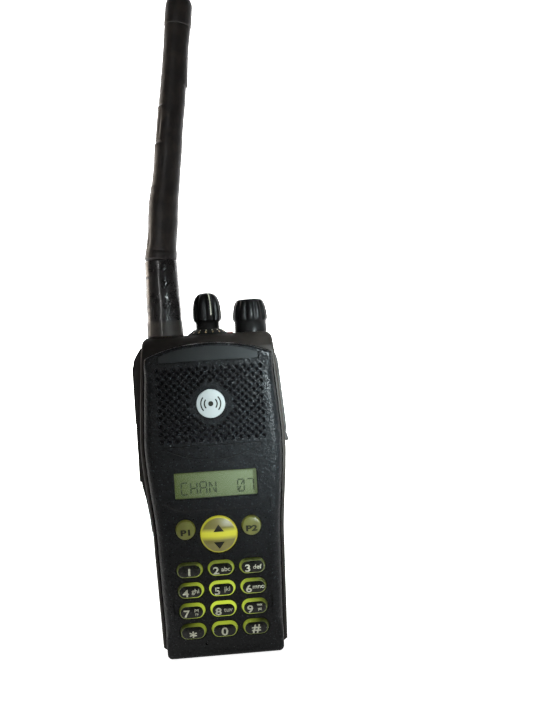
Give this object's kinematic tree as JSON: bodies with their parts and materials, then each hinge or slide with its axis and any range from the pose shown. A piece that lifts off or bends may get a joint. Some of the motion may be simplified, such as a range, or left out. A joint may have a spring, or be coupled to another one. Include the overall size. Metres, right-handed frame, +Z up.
{
  "type": "two-way radio",
  "caption": "Handheld two-way radio with keypad, lit display, speaker grille, channel and volume knobs, taped bent antenna, side buttons, jack cover, battery and belt clip.",
  "frame": {"origin": "On the flat base, below the middle of the housing; the housing's front and back lie about evenly before and behind it.", "axes": "+X to the right as seen from the front, +Y from the front to the back, +Z up along the body towards the antenna"},
  "size_m": [0.0577, 0.0472, 0.25],
  "materials": {
    "cover_plastic": "fine leather-like grain, charcoal",
    "housing_plastic": "smooth, worn satin, warm black",
    "nameplate": "smooth satin, left blank",
    "emblem_metal": "pale satin silver",
    "clear_window": "clear, slightly scratched",
    "display_glass": "lit yellow-green liquid crystal with dark segments",
    "grey_rubber": "matt",
    "spring_steel": "plain",
    "circuit_board": "green solder mask",
    "switch_metal": "plated",
    "control_plastic": "satin black",
    "brass_fitting": "turned",
    "tinned_steel": "tin plated",
    "speaker_black": "black frame and cone",
    "black_felt": "felt",
    "light_lens": "dull red lens, unlit",
    "gold_contact": "gold plated",
    "key_silicone": "translucent yellow-green with black oval tops and white figures",
    "black_rubber": "matt",
    "heat_shrink": "shrunk black sleeve, semi-gloss",
    "antenna_rubber": "taped and wrinkled, dusty black",
    "battery_plastic": "satin warm black",
    "cell_wrap": "blue cell wrap",
    "clip_plastic": "satin black"
  },
  "bodies": {
    "radio": {"front_cover": "cover_plastic", "main_housing": "housing_plastic", "nameplate": "nameplate", "round_emblem": "emblem_metal", "display_window": "clear_window", "display_panel": "display_glass", "keypad_mat": "grey_rubber", "snap_domes": "spring_steel", "keypad_board": "circuit_board", "side_button_frame": "housing_plastic", "channel_switch": "switch_metal", "channel_dial": "control_plastic", "volume_control": "switch_metal", "antenna_socket": "brass_fitting", "main_board": "circuit_board", "shield_cans": "tinned_steel", "speaker": "speaker_black", "speaker_felt": "black_felt", "microphone": "tinned_steel", "status_light": "light_lens", "radio_contacts": "gold_contact", "jack_socket": "control_plastic", "housing_screws": "spring_steel"},
    "key_1": {"key_1": "key_silicone"},
    "key_2": {"key_2": "key_silicone"},
    "key_3": {"key_3": "key_silicone"},
    "key_4": {"key_4": "key_silicone"},
    "key_5": {"key_5": "key_silicone"},
    "key_6": {"key_6": "key_silicone"},
    "key_7": {"key_7": "key_silicone"},
    "key_8": {"key_8": "key_silicone"},
    "key_9": {"key_9": "key_silicone"},
    "key_star": {"key_star": "key_silicone"},
    "key_0": {"key_0": "key_silicone"},
    "key_hash": {"key_hash": "key_silicone"},
    "p1_button": {"p1_button": "key_silicone"},
    "p2_button": {"p2_button": "key_silicone"},
    "nav_rocker": {"nav_rocker": "key_silicone"},
    "ptt_button": {"ptt_button": "black_rubber"},
    "side_button_upper": {"side_button_upper": "black_rubber"},
    "side_button_lower": {"side_button_lower": "black_rubber"},
    "channel_knob": {"channel_knob": "control_plastic", "channel_shaft": "spring_steel"},
    "volume_knob": {"volume_knob": "control_plastic", "volume_shaft": "spring_steel"},
    "antenna_seal": {"antenna_seal": "black_rubber"},
    "antenna": {"antenna_base_sleeve": "heat_shrink", "antenna_whip": "antenna_rubber", "antenna_tip_cap": "antenna_rubber", "antenna_stud": "brass_fitting", "antenna_element": "spring_steel"},
    "battery": {"battery_case": "battery_plastic", "battery_cells": "cell_wrap", "battery_contacts": "gold_contact", "belt_clip_bracket": "clip_plastic", "belt_clip_pin": "spring_steel", "belt_clip_spring": "spring_steel"},
    "battery_latch": {"battery_latch": "control_plastic"},
    "belt_clip": {"belt_clip": "clip_plastic"},
    "jack_cover": {"jack_cover": "black_rubber"}
  },
  "joints": [
    {"name": "key_1_press", "type": "slide", "parent": "radio", "child": "key_1", "axis": [0, 1, 0], "range_m": [0, 0.0006], "stiffness_N_per_m": 1500, "springref_m": -0.0002},
    {"name": "key_2_press", "type": "slide", "parent": "radio", "child": "key_2", "axis": [0, 1, 0], "range_m": [0, 0.0006], "stiffness_N_per_m": 1500, "springref_m": -0.0002},
    {"name": "key_3_press", "type": "slide", "parent": "radio", "child": "key_3", "axis": [0, 1, 0], "range_m": [0, 0.0006], "stiffness_N_per_m": 1500, "springref_m": -0.0002},
    {"name": "key_4_press", "type": "slide", "parent": "radio", "child": "key_4", "axis": [0, 1, 0], "range_m": [0, 0.0006], "stiffness_N_per_m": 1500, "springref_m": -0.0002},
    {"name": "key_5_press", "type": "slide", "parent": "radio", "child": "key_5", "axis": [0, 1, 0], "range_m": [0, 0.0006], "stiffness_N_per_m": 1500, "springref_m": -0.0002},
    {"name": "key_6_press", "type": "slide", "parent": "radio", "child": "key_6", "axis": [0, 1, 0], "range_m": [0, 0.0006], "stiffness_N_per_m": 1500, "springref_m": -0.0002},
    {"name": "key_7_press", "type": "slide", "parent": "radio", "child": "key_7", "axis": [0, 1, 0], "range_m": [0, 0.0006], "stiffness_N_per_m": 1500, "springref_m": -0.0002},
    {"name": "key_8_press", "type": "slide", "parent": "radio", "child": "key_8", "axis": [0, 1, 0], "range_m": [0, 0.0006], "stiffness_N_per_m": 1500, "springref_m": -0.0002},
    {"name": "key_9_press", "type": "slide", "parent": "radio", "child": "key_9", "axis": [0, 1, 0], "range_m": [0, 0.0006], "stiffness_N_per_m": 1500, "springref_m": -0.0002},
    {"name": "key_star_press", "type": "slide", "parent": "radio", "child": "key_star", "axis": [0, 1, 0], "range_m": [0, 0.0006], "stiffness_N_per_m": 1500, "springref_m": -0.0002},
    {"name": "key_0_press", "type": "slide", "parent": "radio", "child": "key_0", "axis": [0, 1, 0], "range_m": [0, 0.0006], "stiffness_N_per_m": 1500, "springref_m": -0.0002},
    {"name": "key_hash_press", "type": "slide", "parent": "radio", "child": "key_hash", "axis": [0, 1, 0], "range_m": [0, 0.0006], "stiffness_N_per_m": 1500, "springref_m": -0.0002},
    {"name": "p1_button_press", "type": "slide", "parent": "radio", "child": "p1_button", "axis": [0, 1, 0], "range_m": [0, 0.0006], "stiffness_N_per_m": 1500, "springref_m": -0.0002},
    {"name": "p2_button_press", "type": "slide", "parent": "radio", "child": "p2_button", "axis": [0, 1, 0], "range_m": [0, 0.0006], "stiffness_N_per_m": 1500, "springref_m": -0.0002},
    {"name": "nav_rocker_tilt", "type": "hinge", "parent": "radio", "child": "nav_rocker", "pos_m": [0, -0.0154, 0.04585], "axis": [1, 0, 0], "range_deg": [-4, 4], "stiffness_Nm_per_rad": 0.05},
    {"name": "ptt_press", "type": "slide", "parent": "radio", "child": "ptt_button", "axis": [1, 0, 0], "range_m": [0, 0.001], "stiffness_N_per_m": 3000, "springref_m": -0.0003},
    {"name": "side_button_upper_press", "type": "slide", "parent": "radio", "child": "side_button_upper", "axis": [1, 0, 0], "range_m": [0, 0.0006], "stiffness_N_per_m": 2500, "springref_m": -0.0002},
    {"name": "side_button_lower_press", "type": "slide", "parent": "radio", "child": "side_button_lower", "axis": [1, 0, 0], "range_m": [0, 0.0006], "stiffness_N_per_m": 2500, "springref_m": -0.0002},
    {"name": "channel_turn", "type": "hinge", "parent": "radio", "child": "channel_knob", "pos_m": [0.0003, -0.0015, 0.12], "axis": [0, 0, -1], "range_deg": [-135, 202.5]},
    {"name": "volume_turn", "type": "hinge", "parent": "radio", "child": "volume_knob", "pos_m": [0.017, -0.0015, 0.12], "axis": [0, 0, -1], "range_deg": [-120, 150]},
    {"name": "antenna_lift", "type": "slide", "parent": "radio", "child": "antenna_seal", "axis": [0, 0, 1], "range_m": [0, 0.005]},
    {"name": "antenna_unscrew", "type": "hinge", "parent": "antenna_seal", "child": "antenna", "pos_m": [-0.0162, -0.0015, 0.1205], "axis": [0, 0, 1], "range_deg": [0, 1800]},
    {"name": "battery_off", "type": "slide", "parent": "radio", "child": "battery", "axis": [0, 1, 0], "range_m": [0, 0.025]},
    {"name": "latch_pull", "type": "slide", "parent": "battery", "child": "battery_latch", "axis": [0, 0, -1], "range_m": [0, 0.003], "stiffness_N_per_m": 900, "springref_m": -0.001},
    {"name": "belt_clip_open", "type": "hinge", "parent": "battery", "child": "belt_clip", "pos_m": [0, 0.0224, 0.08], "axis": [1, 0, 0], "range_deg": [0, 18], "stiffness_Nm_per_rad": 0.6, "springref_deg": -22.92},
    {"name": "jack_cover_open", "type": "hinge", "parent": "radio", "child": "jack_cover", "pos_m": [0.028, -0.0055, 0.0783], "axis": [0, 1, 0], "range_deg": [0, 150]}
  ],
  "couplings": [
    {"joint": "antenna_unscrew", "follows": "antenna_lift", "rad_per_m": 6283.2}
  ]
}
